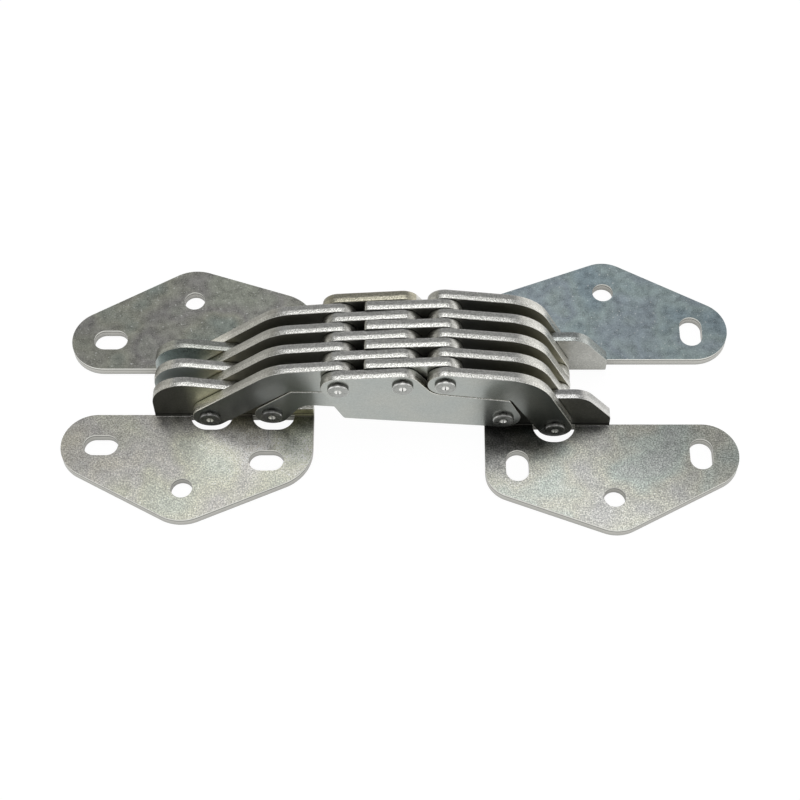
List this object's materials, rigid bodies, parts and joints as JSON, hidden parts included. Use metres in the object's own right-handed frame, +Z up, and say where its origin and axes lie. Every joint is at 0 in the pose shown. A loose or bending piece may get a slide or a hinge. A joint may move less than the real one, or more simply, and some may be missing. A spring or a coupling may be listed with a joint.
{
  "type": "concealed door hinge",
  "caption": "Concealed door hinge, laid flat open: screw ears at both ends, joined by a folding pack of interleaved pressed links on riveted pins.",
  "frame": {"origin": "centre of the bounding box, on the mounting face under the ears", "axes": "+X across the hinge, from the left bracket to the right one; +Y from the front ears to the back ears, along the pins; +Z up, away from the mounting face"},
  "size_m": [0.194, 0.0906, 0.0349],
  "materials": {
    "zinc_ear": "zinc plate with a fine mottled spangle",
    "zinc_link": "smooth zinc plate with sheared edges",
    "rivet": "zinc plate with a punched centre"
  },
  "bodies": {
    "left_bracket": {"left_front_ear": "zinc_ear", "left_back_ear": "zinc_ear", "left_middle_plate": "zinc_link"},
    "left_arms": {"left_arm_1": "zinc_link", "left_arm_2": "zinc_link", "left_arm_3": "zinc_link", "left_arm_4": "zinc_link", "pivot_pin_a": "rivet"},
    "left_cross_links": {"left_cross_link_1": "zinc_link", "left_cross_link_2": "zinc_link", "left_cross_link_3": "zinc_link", "left_cross_link_4": "zinc_link", "pivot_pin_b": "rivet"},
    "right_cross_links": {"right_cross_link_1": "zinc_link", "right_cross_link_2": "zinc_link", "right_cross_link_3": "zinc_link", "right_cross_link_4": "zinc_link", "right_cross_link_5": "zinc_link", "pivot_pin_c": "rivet", "pivot_pin_d": "rivet", "pivot_pin_f": "rivet"},
    "right_arms": {"right_arm_1": "zinc_link", "right_arm_2": "zinc_link", "right_arm_3": "zinc_link", "right_arm_4": "zinc_link", "right_arm_5": "zinc_link", "pivot_pin_e": "rivet", "pivot_pin_g": "rivet"},
    "right_bracket": {"right_front_ear": "zinc_ear", "right_back_ear": "zinc_ear", "right_middle_plate_1": "zinc_link", "right_middle_plate_2": "zinc_link"}
  },
  "joints": [
    {"name": "fold", "type": "hinge", "parent": "left_bracket", "child": "left_cross_links", "pos_m": [-0.03625, 0, 0.00865], "axis": [0, -1, 0], "range_deg": [0, 90]},
    {"name": "left_arm_swing", "type": "hinge", "parent": "left_bracket", "child": "left_arms", "pos_m": [-0.0541, 0, 0.00715], "axis": [0, -1, 0], "range_deg": [0, 90]},
    {"name": "right_cross_swing", "type": "hinge", "parent": "left_cross_links", "child": "right_cross_links", "pos_m": [0.0012, 0, 0.02935], "axis": [0, -1, 0], "range_deg": [-90, 0]},
    {"name": "right_arm_swing", "type": "hinge", "parent": "left_cross_links", "child": "right_arms", "pos_m": [0.01295, 0, 0.02995], "axis": [0, -1, 0], "range_deg": [-76, 0]},
    {"name": "right_bracket_swing", "type": "hinge", "parent": "right_cross_links", "child": "right_bracket", "pos_m": [0.02955, 0, 0.0121], "axis": [0, -1, 0], "range_deg": [0, 87]}
  ],
  "couplings": [
    {"joint": "left_arm_swing", "follows": "fold", "ratio": 1},
    {"joint": "right_cross_swing", "follows": "fold", "ratio": -1},
    {"joint": "right_arm_swing", "follows": "fold", "ratio": -0.8414},
    {"joint": "right_bracket_swing", "follows": "fold", "ratio": 0.9614}
  ]
}
